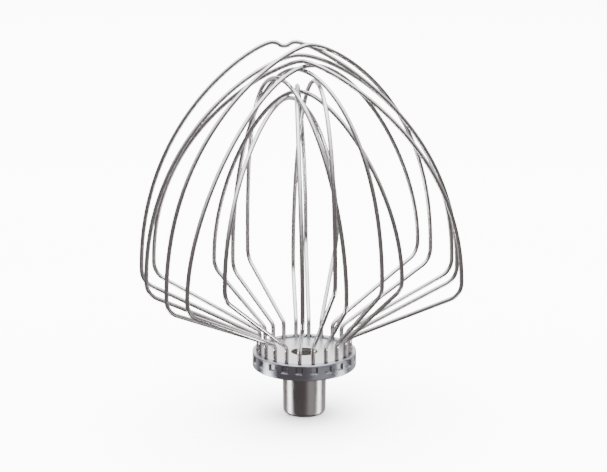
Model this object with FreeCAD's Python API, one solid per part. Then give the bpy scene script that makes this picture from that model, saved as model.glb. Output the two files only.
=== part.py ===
import FreeCAD, Part
import os
from math import cos, radians, sin, tan

Vector = FreeCAD.Vector

# Wire whip attachment for a stand mixer, in millimetres.
# It stands on its drive sleeve: +Z runs up through the crown of the wires, -Y is the front.
# Angles round the axis are headings: 0 faces the front and 90 faces +X.

UP = Vector(0, 0, 1)
ORIGIN = Vector(0, 0, 0)
SLIP = 0.02                # radial clearance between parts that are assembled tight
OVERRUN = 1.0              # how far a cutter runs past what it cuts
MATCH = 1e-4               # how closely an edge's sizes must agree to be the one looked for

# Wire and its bends
WIRE_DIAMETER = 2.1
LOOP_COUNT = 11
SOCKET_COUNT = 2 * LOOP_COUNT
FIRST_SOCKET_HEADING = -87.5
KNEE_RADIUS = 3.7          # bend from the upright stub to the outward slant
ELBOW_RADIUS = 9.0         # bend from the slant to the bow
KNEE_RISE = 8.5            # the knee's height over the hub disc
WIRE_END_GAP = 0.4         # under each wire end, over the ring's floor

# Hub
HUB_TOP = 31.0             # top face of the hub disc
SOCKET_RADIUS = 22.5       # pitch circle of the wire ends
DISC_RADIUS = 23.1
DISC_THICKNESS = 1.8
DISC_HOLE_RADIUS = 6.5
DISC_HOLE_CHAMFER = 0.3
SOCKET_CLEARANCE = 0.07    # round each wire in its notch in the disc
RING_RADIUS = 25.45
RING_DROP = 6.9            # from the disc's top face to the ring's underside
RING_WALL = 1.9
RING_FLOOR = 1.4
RING_EDGE_ROUND = 0.5
LIP_THICKNESS = 0.9
LIP_INNER_RADIUS = 22.0
LIP_ROUND = 0.6
LIP_INNER_ROUND = 0.3
LIP_NOTCH_RADIUS = 1.5

# Crimp pockets in the ring's wall
POCKET_TOP_DROP = 0.1      # below the disc's top face
POCKET_HEIGHT = 3.7
POCKET_WIDTH = 3.7
POCKET_DEPTH = 1.1
POCKET_MOUTH_REACH = 0.1   # how far outside the wall the pocket has its full size
POCKET_BACK_WIDTH = 2.3
POCKET_BACK_HEIGHT = 2.9

# Drive sleeve and the bush inside it
SLEEVE_FOOT_RADIUS = 10.44
SLEEVE_TOP_RADIUS = 10.86
SLEEVE_WALL = 1.2          # at the foot
SLEEVE_FOOT_ROUND = 1.8
BORE_RADIUS = 6.4          # takes a 12.7 mm drive shaft
BUSH_NOSE_RADIUS = 7.2     # the bush's end, flush with the sleeve's foot

# Bayonet slot for the shaft's cross pin
SLOT_WIDTH = 5.0
SLOT_RISE = 17.0           # centre height of the turned part of the slot
SLOT_TURN = 60.0           # degrees the pin turns to lock
SLOT_HEADING = 180.0
FOOT_GAP_REACH = 8.2       # how far from the axis the sleeve's foot is cut away for the pin

DISC_UNDERSIDE = HUB_TOP - DISC_THICKNESS
RING_UNDERSIDE = HUB_TOP - RING_DROP
FLOOR_TOP = RING_UNDERSIDE + RING_FLOOR
RING_TOP = HUB_TOP + LIP_THICKNESS
WIRE_END = FLOOR_TOP + WIRE_END_GAP
KNEE_HEIGHT = HUB_TOP + KNEE_RISE
SLEEVE_BORE_RADIUS = SLEEVE_FOOT_RADIUS - SLEEVE_WALL
BUSH_RADIUS = SLEEVE_BORE_RADIUS - SLIP
FOOT_INNER_ROUND = SLEEVE_FOOT_ROUND - SLEEVE_WALL
BUSH_FOOT_ROUND = FOOT_INNER_ROUND + 0.05      # larger, so that it clears the sleeve

# The loops cross one under another at the crown, so each has its own reach, lean and top point.
# Pairs give the front leg and then the back leg.
#   socket     index of the front socket; the back leg is half a turn away
#   reach      elbow's distance from the axis
#   elbow      elbow's height
#   swing      degrees the leg leans round the axis from its socket
#   crown      the bow's top point
#   fullness   how far each leg keeps climbing straight up from its elbow
#   flatness   how far the crown runs level to each side
LOOPS = [
    dict(socket=0, reach=(78.5, 74.5), elbow=(67.5, 66.5), swing=(0, 2),
         crown=(-9.5, 3, 182.8), fullness=75, flatness=8),
    dict(socket=1, reach=(78.5, 77.5), elbow=(67.5, 65), swing=(0, 0),
         crown=(-3, 0, 177), fullness=70, flatness=19),
    dict(socket=2, reach=(78.5, 78.5), elbow=(65, 65), swing=(1, 0),
         crown=(2, -2, 182), fullness=80, flatness=14),
    dict(socket=3, reach=(80, 82), elbow=(68, 65.5), swing=(-3, -7),
         crown=(1.5, -0.5, 172), fullness=42, flatness=34),
    dict(socket=4, reach=(73.5, 57), elbow=(76, 73), swing=(-7, 5),
         crown=(-9, -1, 156.5), fullness=44, flatness=26),
    dict(socket=5, reach=(67.5, 66.5), elbow=(63.5, 69.5), swing=(5, 5),
         crown=(-3.5, 0.5, 162), fullness=45, flatness=30),
    dict(socket=6, reach=(52, 49), elbow=(76, 59.5), swing=(5, -4),
         crown=(5.5, 0, 164.5), fullness=52, flatness=29),
    dict(socket=7, reach=(49.5, 56), elbow=(66, 65.5), swing=(-4, 4),
         crown=(-12, -0.5, 166), fullness=45, flatness=32),
    dict(socket=8, reach=(51.5, 51.5), elbow=(71, 62.5), swing=(1, 1),
         crown=(-2.5, 1.5, 170), fullness=60, flatness=24),
    dict(socket=9, reach=(53, 52), elbow=(70.5, 66.5), swing=(0, 0),
         crown=(-2, 1.5, 159.5), fullness=41, flatness=20),
    dict(socket=10, reach=(77, 77), elbow=(65.5, 65), swing=(-1, -1),
         crown=(-1, -2, 174.5), fullness=70, flatness=10),
]
# The topmost loop has a shallow saddle pressed into its crown.
SADDLE_LOOP = 0
SADDLE_HALF_LENGTH = 5.5
SADDLE_DEPTH = 1.8


def heading(angle):
    """Unit vector pointing away from the axis at this heading."""
    turn = radians(angle)
    return Vector(sin(turn), -cos(turn), 0)


def socket_heading(index):
    return FIRST_SOCKET_HEADING + index * 360.0 / SOCKET_COUNT


def at_each_socket(shape):
    """Copies of a shape built at heading 0, one at every socket."""
    copies = []
    for index in range(SOCKET_COUNT):
        copy = shape.copy()
        copy.rotate(ORIGIN, UP, socket_heading(index))
        copies.append(copy)
    return copies


def tube(outer, inner, bottom, top):
    """A plain tube standing on the axis."""
    solid = Part.makeCylinder(outer, top - bottom, UP * bottom)
    return solid.cut(Part.makeCylinder(inner, top - bottom, UP * bottom))


def revolve(points):
    """Solid of revolution about the axis from (radius, height) corners."""
    corners = [Vector(radius, 0, height) for radius, height in points]
    outline = Part.makePolygon(corners + corners[:1])
    return Part.Face(outline).revolve(ORIGIN, UP, 360)


def ring_edges(solid, radius, height):
    """The solid's circular edges at this radius and height."""
    found = []
    for edge in solid.Edges:
        curve = edge.Curve
        if isinstance(curve, Part.Circle):
            if abs(curve.Radius - radius) < MATCH and abs(curve.Center.z - height) < MATCH:
                found.append(edge)
    return found


def bend(corner, arriving, leaving, radius):
    """Arc that rounds a corner: its start point, its edge and its end point."""
    turn = arriving.getAngle(leaving)
    setback = radius * tan(turn / 2)
    start = corner - arriving * setback
    end = corner + leaving * setback
    inward = (leaving - arriving).normalize()
    middle = corner + inward * (radius / cos(turn / 2) - radius)
    return start, Part.Arc(start, middle, end).toShape(), end


def bezier(*poles):
    curve = Part.BezierCurve()
    curve.setPoles(list(poles))
    return curve.toShape()


def leg(angle, swing, reach, elbow_height, crown, outward, fullness, flatness):
    """One leg of a loop, from its end in the hub up to the crown."""
    socket = heading(angle) * SOCKET_RADIUS
    foot = socket + UP * WIRE_END
    knee = socket + UP * KNEE_HEIGHT
    elbow = heading(angle + swing) * reach + UP * elbow_height
    slant = (elbow - knee).normalize()
    knee_start, knee_arc, knee_end = bend(knee, UP, slant, KNEE_RADIUS)
    elbow_start, elbow_arc, elbow_end = bend(elbow, slant, UP, ELBOW_RADIUS)
    stub = Part.makeLine(foot, knee_start)
    slope = Part.makeLine(knee_end, elbow_start)
    bow = bezier(elbow_end, elbow_end + UP * fullness, crown + outward * flatness, crown)
    return [stub, knee_arc, slope, elbow_arc, bow]


def saddle(front_crest, back_crest):
    """The dip between the two crests of the topmost loop."""
    span = back_crest - front_crest
    quarter = span / 4
    dip = front_crest + span / 2 - UP * SADDLE_DEPTH
    down = bezier(front_crest, front_crest + quarter, dip - quarter, dip)
    rise = bezier(dip, dip + quarter, back_crest - quarter, back_crest)
    return [down, rise]


def loop_path(socket, reach, elbow, swing, crown, fullness, flatness):
    """Centre line of a whole loop, from the front socket over the crown to the back socket."""
    front = socket_heading(socket)
    back = front + 180
    outward = heading(front + (swing[0] + swing[1]) / 2)
    crest = Vector(*crown)
    front_crest = crest
    back_crest = crest
    if socket == SADDLE_LOOP:
        front_crest = crest + outward * SADDLE_HALF_LENGTH
        back_crest = crest - outward * SADDLE_HALF_LENGTH
    edges = leg(front, swing[0], reach[0], elbow[0], front_crest, outward, fullness, flatness)
    if socket == SADDLE_LOOP:
        edges += saddle(front_crest, back_crest)
    edges += reversed(leg(back, swing[1], reach[1], elbow[1], back_crest, outward * -1, fullness, flatness))
    return Part.Wire(Part.__sortEdges__(edges))


def wire_loop(**shape):
    """Round wire swept along its loop."""
    foot = heading(socket_heading(shape["socket"])) * SOCKET_RADIUS + UP * WIRE_END
    half = Part.makeCircle(WIRE_DIAMETER / 2, foot, UP, 0, 180)
    other_half = Part.makeCircle(WIRE_DIAMETER / 2, foot, UP, 180, 360)
    sweep = Part.BRepOffsetAPI.MakePipeShell(loop_path(**shape))
    sweep.add(Part.Wire([half, other_half]), False, False)
    sweep.build()
    sweep.makeSolid()
    return sweep.shape()


def socket_cutters(radius, bottom, top):
    """Upright rods at the sockets, for cutting the wires' seats."""
    place = heading(0) * SOCKET_RADIUS + UP * bottom
    return at_each_socket(Part.makeCylinder(radius, top - bottom, place))


def hub_disc():
    """Top plate with a notch for each wire and a hole over the bore."""
    disc = tube(DISC_RADIUS, DISC_HOLE_RADIUS, DISC_UNDERSIDE, HUB_TOP)
    disc = disc.makeChamfer(DISC_HOLE_CHAMFER, ring_edges(disc, DISC_HOLE_RADIUS, HUB_TOP))
    seat = WIRE_DIAMETER / 2 + SOCKET_CLEARANCE
    return disc.cut(socket_cutters(seat, DISC_UNDERSIDE - OVERRUN, HUB_TOP + OVERRUN))


def hub_core():
    """Ring under the disc that holds the wire ends against the crimp ring."""
    core = tube(DISC_RADIUS, BUSH_RADIUS + SLIP, FLOOR_TOP, DISC_UNDERSIDE)
    seat = WIRE_DIAMETER / 2 + SLIP
    return core.cut(socket_cutters(seat, FLOOR_TOP - OVERRUN, DISC_UNDERSIDE + OVERRUN))


def pocket_outline(distance, width, height):
    """Upright rectangle facing the front, hung from the pockets' top line."""
    top = HUB_TOP - POCKET_TOP_DROP
    half = width / 2
    corners = [
        Vector(-half, -distance, top),
        Vector(half, -distance, top),
        Vector(half, -distance, top - height),
        Vector(-half, -distance, top - height),
    ]
    return Part.makePolygon(corners + corners[:1])


def pocket_cutter():
    """Square dent with sloping sides and a sloping floor."""
    mouth = pocket_outline(RING_RADIUS + POCKET_MOUTH_REACH, POCKET_WIDTH, POCKET_HEIGHT)
    back = pocket_outline(RING_RADIUS - POCKET_DEPTH, POCKET_BACK_WIDTH, POCKET_BACK_HEIGHT)
    return Part.makeLoft([mouth, back], True, True)


def crimp_ring():
    """Cup round the hub: floor, wall with a crimp pocket at each wire, and a lip folded over the disc."""
    inner = RING_RADIUS - RING_WALL
    hole = BUSH_RADIUS + SLIP
    cup = revolve([
        (hole, RING_UNDERSIDE),
        (RING_RADIUS, RING_UNDERSIDE),
        (RING_RADIUS, RING_TOP),
        (LIP_INNER_RADIUS, RING_TOP),
        (LIP_INNER_RADIUS, HUB_TOP),
        (inner, HUB_TOP),
        (inner, FLOOR_TOP),
        (hole, FLOOR_TOP),
    ])
    cup = cup.makeFillet(RING_EDGE_ROUND, ring_edges(cup, RING_RADIUS, RING_UNDERSIDE))
    cup = cup.makeFillet(LIP_ROUND, ring_edges(cup, RING_RADIUS, RING_TOP))
    cup = cup.makeFillet(LIP_INNER_ROUND, ring_edges(cup, LIP_INNER_RADIUS, RING_TOP))
    cup = cup.cut(at_each_socket(pocket_cutter()))
    return cup.cut(socket_cutters(LIP_NOTCH_RADIUS, HUB_TOP, RING_TOP + OVERRUN))


def slot_cutter():
    """Bayonet slot: straight in from the mouth, then round the bore."""
    depth = BUSH_RADIUS + OVERRUN
    corner = Vector(-SLOT_WIDTH / 2, -depth, -OVERRUN)
    entry = Part.makeBox(SLOT_WIDTH, depth, SLOT_RISE + OVERRUN, corner)
    turn = Part.makeCylinder(depth, SLOT_WIDTH, UP * (SLOT_RISE - SLOT_WIDTH / 2), UP, SLOT_TURN)
    turn.rotate(ORIGIN, UP, -90)
    pin_end = Part.makeCylinder(SLOT_WIDTH / 2, depth, UP * SLOT_RISE, heading(SLOT_TURN))
    pin_start = Part.makeCylinder(SLOT_WIDTH / 2, depth, UP * SLOT_RISE, heading(0))
    cutter = entry.fuse([turn, pin_end, pin_start])
    cutter.rotate(ORIGIN, UP, SLOT_HEADING)
    return cutter


def drive_bush():
    """Lining of the bore, slotted for the shaft's cross pin, with a nose that fills the sleeve's foot."""
    body = tube(BUSH_RADIUS, BORE_RADIUS, SLEEVE_WALL, DISC_UNDERSIDE)
    body = body.makeFillet(BUSH_FOOT_ROUND, ring_edges(body, BUSH_RADIUS, SLEEVE_WALL))
    nose = tube(BUSH_NOSE_RADIUS, BORE_RADIUS, 0, SLEEVE_WALL)
    return body.fuse(nose).removeSplitter().cut(slot_cutter())


def drive_sleeve():
    """Drawn outer tube, a little wider at the top and rolled in at the foot, with a gap for the pin."""
    mouth = BUSH_NOSE_RADIUS + SLIP
    sleeve = revolve([
        (mouth, 0),
        (SLEEVE_FOOT_RADIUS, 0),
        (SLEEVE_TOP_RADIUS, RING_UNDERSIDE),
        (SLEEVE_BORE_RADIUS, RING_UNDERSIDE),
        (SLEEVE_BORE_RADIUS, SLEEVE_WALL),
        (mouth, SLEEVE_WALL),
    ])
    sleeve = sleeve.makeFillet(SLEEVE_FOOT_ROUND, ring_edges(sleeve, SLEEVE_FOOT_RADIUS, 0))
    sleeve = sleeve.makeFillet(FOOT_INNER_ROUND, ring_edges(sleeve, SLEEVE_BORE_RADIUS, SLEEVE_WALL))
    corner = Vector(-SLOT_WIDTH / 2, -FOOT_GAP_REACH, -OVERRUN)
    gap = Part.makeBox(SLOT_WIDTH, FOOT_GAP_REACH, SLEEVE_WALL + 2 * OVERRUN, corner)
    gap.rotate(ORIGIN, UP, SLOT_HEADING)
    return sleeve.cut(gap)


def build():
    """Every node's name and its solid."""
    nodes = {
        "drive_sleeve": drive_sleeve(),
        "drive_bush": drive_bush(),
        "crimp_ring": crimp_ring(),
        "hub_core": hub_core(),
        "hub_disc": hub_disc(),
    }
    for shape in LOOPS:
        nodes["wire_loop_%02d" % (shape["socket"] + 1)] = wire_loop(**shape)
    return nodes


os.makedirs("parts", exist_ok=True)
for name, shape in build().items():
    shape.exportStep("parts/%s.step" % name)
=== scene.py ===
from math import cos, pi, radians, sin

import bpy
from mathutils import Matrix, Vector


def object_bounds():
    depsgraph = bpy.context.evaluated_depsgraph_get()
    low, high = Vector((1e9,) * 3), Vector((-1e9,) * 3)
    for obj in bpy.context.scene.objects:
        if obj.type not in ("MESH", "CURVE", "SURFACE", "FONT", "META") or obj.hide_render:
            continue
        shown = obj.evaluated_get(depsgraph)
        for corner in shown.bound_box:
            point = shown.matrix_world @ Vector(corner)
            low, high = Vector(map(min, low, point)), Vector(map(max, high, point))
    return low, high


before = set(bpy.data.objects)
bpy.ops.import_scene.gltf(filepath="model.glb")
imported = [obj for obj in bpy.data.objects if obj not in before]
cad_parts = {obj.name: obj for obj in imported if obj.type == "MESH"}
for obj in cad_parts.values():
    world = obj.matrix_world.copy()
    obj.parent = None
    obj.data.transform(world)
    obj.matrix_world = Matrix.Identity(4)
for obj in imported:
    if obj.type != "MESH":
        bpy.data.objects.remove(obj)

CAD_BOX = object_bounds()

# Lengths are in metres and angles in degrees, unless a comment says otherwise.

# Camera
CAMERA_DISTANCE = 0.868
CAMERA_ELEVATION = 14.8
CAMERA_FOCAL = 106.9       # millimetres
AIM_SHARE = 0.4855         # height of the aim, as a share of the whip's height
AIM_SIDE = -0.0004         # x of the aim, just beside the drive axis

# Colours, linear
WIRE_COLOUR = (0.50, 0.487, 0.485)
RING_COLOUR = (0.31, 0.32, 0.352)
DISC_COLOUR = (0.57, 0.57, 0.56)
SLEEVE_COLOUR = (0.275, 0.262, 0.258)
BUSH_COLOUR = (0.62, 0.59, 0.57)
CORE_COLOUR = (0.50, 0.50, 0.50)
FLOOR_COLOUR = (0.86, 0.86, 0.86)

# Noise coordinates that draw brush lines. A small factor stretches the noise in its direction.
LENGTHWISE_ROUND = 0.01    # per radian round the drive axis
LENGTHWISE_RISE = 0.012
TURNED_ROUND = 0.0002      # per radian round the drive axis
STRAIGHT_RUN = 0.02

# Bare metal. A noise's scale is per metre.
NOISE_LOW = 0.3            # a noise mostly runs from here
NOISE_HIGH = 0.7           # to here
LINE_DETAIL = 4.0
LINE_NOISE_ROUGHNESS = 0.6
LINE_TONE = 0.6            # share of the colour's change that follows the lines, not the smears
SMEAR_SCALE = 60.0
SPECK_SCALE = 1400.0
SPECK_DETAIL = 2.0
SPECK_DEPTH = 0.6          # share of the brush lines' depth
DARKEST = 0.9              # shares of the metal's colour
PALEST = 1.08
GLOSSIEST = 0.875          # shares of the metal's roughness, before the streaks
DULLEST = 1.175
STREAK = 0.15

# Floor
FLOOR_HALF_WIDTH = 6.0
FLOOR_NEAR = -3.0
BEND_START = 4.0
BEND_RADIUS = 1.5
BEND_STEPS = 12
WALL_TOP = 4.0
FLOOR_ROUGHNESS = 0.9
TOOTH_SCALE = 300.0        # per metre
TOOTH_DEPTH = 0.00005
TOOTH_SHADE = 0.99         # share of the floor's colour

# Light
SKY_GLOW = (9.0, 9.0, 9.2)
SKY_FALLOFF = 2.2
SKY_TILT = 8.0             # how far the brightest part leans away from the camera
GROUND_GLOW = (0.265, 0.238, 0.242)
HORIZON = 0.12             # cosine of the angle from the brightest part where the sky turns dark
FLOOR_LAMP_Y = 0.5
FLOOR_LAMP_HEIGHT = 2.0
FLOOR_LAMP_SIDE = 4.0
FLOOR_GLOW = 19.0

# Upright glowing cards that face the drive axis. A heading of 0 is the front and 90 is +X.
# Columns: name, heading, distance, foot, top, width, glow
CARDS = [
    ("low_left_card", -83.0, 0.15, -0.13, -0.02, 0.055, 22.0),
    ("low_right_card", 85.0, 0.15, -0.13, -0.024, 0.05, 21.0),
    ("low_front_card", 38.0, 0.15, -0.13, -0.01, 0.12, 0.9),
    ("left_card", -140.0, 0.3, -0.2, 0.25, 0.2, 0.8),
    ("right_card", 133.0, 0.3, -0.2, 0.25, 0.2, 0.9),
    ("back_card", 180.0, 0.6, 0.11, 0.33, 0.9, 2.5),
]


class Nodes:
    """A material's node tree, with short ways to add and join nodes."""

    def __init__(self, name):
        self.material = bpy.data.materials.new(name)
        self.material.use_nodes = True
        self.tree = self.material.node_tree
        self.shader = self.tree.nodes["Principled BSDF"]

    def add(self, kind, **settings):
        node = self.tree.nodes.new(kind)
        for key, value in settings.items():
            setattr(node, key, value)
        return node

    def join(self, source, target):
        self.tree.links.new(source, target)

    def feed(self, node, values):
        """Puts each value, a socket or a number, into the node's inputs in order."""
        for slot, value in enumerate(values):
            if isinstance(value, (int, float)):
                node.inputs[slot].default_value = value
            else:
                self.join(value, node.inputs[slot])
        return node.outputs[0]

    def math(self, operation, *values):
        return self.feed(self.add("ShaderNodeMath", operation=operation), values)

    def vector(self, x, y, z):
        return self.feed(self.add("ShaderNodeCombineXYZ"), (x, y, z))

    def noise(self, place, scale, detail=3.0, roughness=0.55):
        node = self.add("ShaderNodeTexNoise")
        node.inputs["Scale"].default_value = scale
        node.inputs["Detail"].default_value = detail
        node.inputs["Roughness"].default_value = roughness
        self.join(place, node.inputs["Vector"])
        return node.outputs["Fac"]

    def spread(self, value, low, high):
        """Remaps a noise's usual range to low..high."""
        node = self.add("ShaderNodeMapRange")
        node.inputs["From Min"].default_value = NOISE_LOW
        node.inputs["From Max"].default_value = NOISE_HIGH
        node.inputs["To Min"].default_value = low
        node.inputs["To Max"].default_value = high
        self.join(value, node.inputs["Value"])
        return node.outputs["Result"]

    def blend(self, factor, first, second):
        """Colour that runs from first to second."""
        node = self.add("ShaderNodeMix", data_type="RGBA")
        node.inputs["A"].default_value = (*first, 1.0)
        node.inputs["B"].default_value = (*second, 1.0)
        self.join(factor, node.inputs["Factor"])
        return node.outputs["Result"]

    def bump(self, height, distance, normal=None):
        node = self.add("ShaderNodeBump")
        node.inputs["Distance"].default_value = distance
        self.join(height, node.inputs["Height"])
        if normal is not None:
            self.join(normal, node.inputs["Normal"])
        return node.outputs["Normal"]


def shaded(colour, share):
    return tuple(channel * share for channel in colour)


def grain_place(nodes, grain, point):
    """Coordinates that stretch a noise into brush lines, or the point itself for an even grain."""
    if grain == "even":
        return point
    split = nodes.add("ShaderNodeSeparateXYZ")
    nodes.join(point, split.inputs[0])
    x, y, z = split.outputs
    if grain == "straight":
        along = nodes.math("MULTIPLY", x, STRAIGHT_RUN)
        return nodes.vector(along, y, nodes.math("MULTIPLY", z, STRAIGHT_RUN))
    around = nodes.math("ARCTAN2", y, x)
    if grain == "lengthwise":
        rise = nodes.math("MULTIPLY", z, LENGTHWISE_RISE)
        return nodes.vector(nodes.math("MULTIPLY", around, LENGTHWISE_ROUND), 0.0, rise)
    squares = nodes.math("ADD", nodes.math("MULTIPLY", x, x), nodes.math("MULTIPLY", y, y))
    radius = nodes.math("SQRT", squares)
    return nodes.vector(nodes.math("MULTIPLY", around, TURNED_ROUND), radius, z)


def steel(name, colour, roughness, grain, grain_scale, grain_depth):
    """Bare metal with brush lines, faint smears in its gloss and small handling marks.

    The grain is even, straight, lengthwise or turned."""
    nodes = Nodes(name)
    shader = nodes.shader
    shader.inputs["Metallic"].default_value = 1.0
    point = nodes.add("ShaderNodeTexCoord").outputs["Object"]
    place = grain_place(nodes, grain, point)
    lines = nodes.noise(place, grain_scale, LINE_DETAIL, LINE_NOISE_ROUGHNESS)
    smears = nodes.noise(point, SMEAR_SCALE)
    specks = nodes.noise(point, SPECK_SCALE, SPECK_DETAIL)

    line_part = nodes.math("MULTIPLY", lines, LINE_TONE)
    smear_part = nodes.math("MULTIPLY", smears, 1.0 - LINE_TONE)
    tone = nodes.spread(nodes.math("ADD", line_part, smear_part), 0.0, 1.0)
    metal = nodes.blend(tone, shaded(colour, DARKEST), shaded(colour, PALEST))
    nodes.join(metal, shader.inputs["Base Color"])

    gloss = nodes.spread(smears, roughness * GLOSSIEST, roughness * DULLEST)
    streak = nodes.spread(lines, -STREAK * roughness, STREAK * roughness)
    nodes.join(nodes.math("ADD", gloss, streak), shader.inputs["Roughness"])

    grooves = nodes.bump(lines, grain_depth)
    marks = nodes.bump(specks, grain_depth * SPECK_DEPTH, grooves)
    nodes.join(marks, shader.inputs["Normal"])
    return nodes.material


def floor_material():
    """Pale studio sweep with a very faint paper tooth."""
    nodes = Nodes("floor_sweep")
    point = nodes.add("ShaderNodeTexCoord").outputs["Object"]
    tooth = nodes.noise(point, TOOTH_SCALE)
    paper = nodes.blend(tooth, shaded(FLOOR_COLOUR, TOOTH_SHADE), FLOOR_COLOUR)
    nodes.join(paper, nodes.shader.inputs["Base Color"])
    nodes.shader.inputs["Roughness"].default_value = FLOOR_ROUGHNESS
    nodes.join(nodes.bump(tooth, TOOTH_DEPTH), nodes.shader.inputs["Normal"])
    return nodes.material


def finish_nodes():
    """Gives each CAD node its metal. The last two numbers are the grain's scale and depth."""
    wire = steel("wire_steel", WIRE_COLOUR, 0.2, "even", 700.0, 0.0000006)
    metals = {
        "crimp_ring": steel("ring_steel", RING_COLOUR, 0.3, "turned", 2500.0, 0.0000005),
        "drive_bush": steel("bush_steel", BUSH_COLOUR, 0.32, "turned", 3000.0, 0.00001),
        "drive_sleeve": steel("sleeve_steel", SLEEVE_COLOUR, 0.32, "lengthwise", 4000.0, 0.000002),
        "hub_core": steel("core_alloy", CORE_COLOUR, 0.5, "even", 500.0, 0.00003),
        "hub_disc": steel("disc_steel", DISC_COLOUR, 0.36, "straight", 1600.0, 0.000006),
    }
    for name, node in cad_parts.items():
        node.data.materials.clear()
        node.data.materials.append(metals.get(name, wire))


def floor():
    """Pale floor that curves up into a backdrop far behind."""
    level = CAD_BOX[0][2]
    profile = [(FLOOR_NEAR, level)]
    for step in range(BEND_STEPS + 1):
        turn = radians(90.0 * step / BEND_STEPS)
        rise = BEND_RADIUS * (1 - cos(turn))
        profile.append((BEND_START + BEND_RADIUS * sin(turn), level + rise))
    profile.append((BEND_START + BEND_RADIUS, WALL_TOP))
    verts = []
    for y, z in profile:
        verts.append((-FLOOR_HALF_WIDTH, y, z))
        verts.append((FLOOR_HALF_WIDTH, y, z))
    faces = [(2 * i, 2 * i + 1, 2 * i + 3, 2 * i + 2) for i in range(len(profile) - 1)]
    mesh = bpy.data.meshes.new("floor_sweep")
    mesh.from_pydata(verts, [], faces)
    mesh.shade_smooth()
    sweep = bpy.data.objects.new("floor_sweep", mesh)
    bpy.context.scene.collection.objects.link(sweep)
    mesh.materials.append(floor_material())
    sweep.visible_glossy = False


def softbox(name, place, target, width, height, glow):
    """Rectangular light that faces the target. The camera doesn't see it."""
    light = bpy.data.lights.new(name, "AREA")
    light.shape = "RECTANGLE"
    light.size = width
    light.size_y = height
    light.energy = glow * pi * width * height
    lamp = bpy.data.objects.new(name, light)
    lamp.location = place
    lamp.rotation_euler = (target - place).to_track_quat("-Z", "Y").to_euler()
    lamp.visible_camera = False
    bpy.context.scene.collection.objects.link(lamp)
    return lamp


def sky():
    """White overhead that falls off to a dark horizon and a dark ground."""
    world = bpy.data.worlds.new("studio")
    world.use_nodes = True
    tree = world.node_tree
    direction = tree.nodes.new("ShaderNodeTexCoord").outputs["Generated"]
    height = tree.nodes.new("ShaderNodeVectorMath")
    height.operation = "DOT_PRODUCT"
    height.inputs[1].default_value = (0.0, sin(radians(SKY_TILT)), cos(radians(SKY_TILT)))
    tree.links.new(direction, height.inputs[0])
    rise = tree.nodes.new("ShaderNodeMapRange")
    rise.inputs["From Min"].default_value = HORIZON
    rise.inputs["From Max"].default_value = 1.0
    tree.links.new(height.outputs["Value"], rise.inputs["Value"])
    share = tree.nodes.new("ShaderNodeMath")
    share.operation = "POWER"
    share.inputs[1].default_value = SKY_FALLOFF
    tree.links.new(rise.outputs["Result"], share.inputs[0])
    mix = tree.nodes.new("ShaderNodeMix")
    mix.data_type = "RGBA"
    mix.inputs["A"].default_value = (*GROUND_GLOW, 1.0)
    mix.inputs["B"].default_value = (*SKY_GLOW, 1.0)
    tree.links.new(share.outputs[0], mix.inputs["Factor"])
    tree.links.new(mix.outputs["Result"], tree.nodes["Background"].inputs["Color"])
    bpy.context.scene.world = world


def upright_card(name, heading, distance, foot, top, width, glow):
    turn = radians(heading)
    place = Vector((distance * sin(turn), -distance * cos(turn), (foot + top) / 2))
    softbox(name, place, Vector((0.0, 0.0, place.z)), width, top - foot, glow)


def lighting():
    sky()
    overhead = Vector((0.0, FLOOR_LAMP_Y, FLOOR_LAMP_HEIGHT))
    beneath = Vector((0.0, FLOOR_LAMP_Y, 0.0))
    floor_lamp = softbox("floor_lamp", overhead, beneath, FLOOR_LAMP_SIDE, FLOOR_LAMP_SIDE, FLOOR_GLOW)
    floor_lamp.visible_glossy = False
    for card in CARDS:
        upright_card(*card)


def camera(aim):
    lens = bpy.data.cameras.new("camera")
    lens.lens = CAMERA_FOCAL
    rig = bpy.data.objects.new("camera", lens)
    tilt = radians(CAMERA_ELEVATION)
    rig.location = aim + Vector((0.0, -cos(tilt), sin(tilt))) * CAMERA_DISTANCE
    rig.rotation_euler = (aim - rig.location).to_track_quat("-Z", "Y").to_euler()
    bpy.context.scene.collection.objects.link(rig)
    bpy.context.scene.camera = rig


low, high = CAD_BOX
aim = Vector((AIM_SIDE, 0.0, low[2] + AIM_SHARE * (high[2] - low[2])))
finish_nodes()
floor()
lighting()
camera(aim)
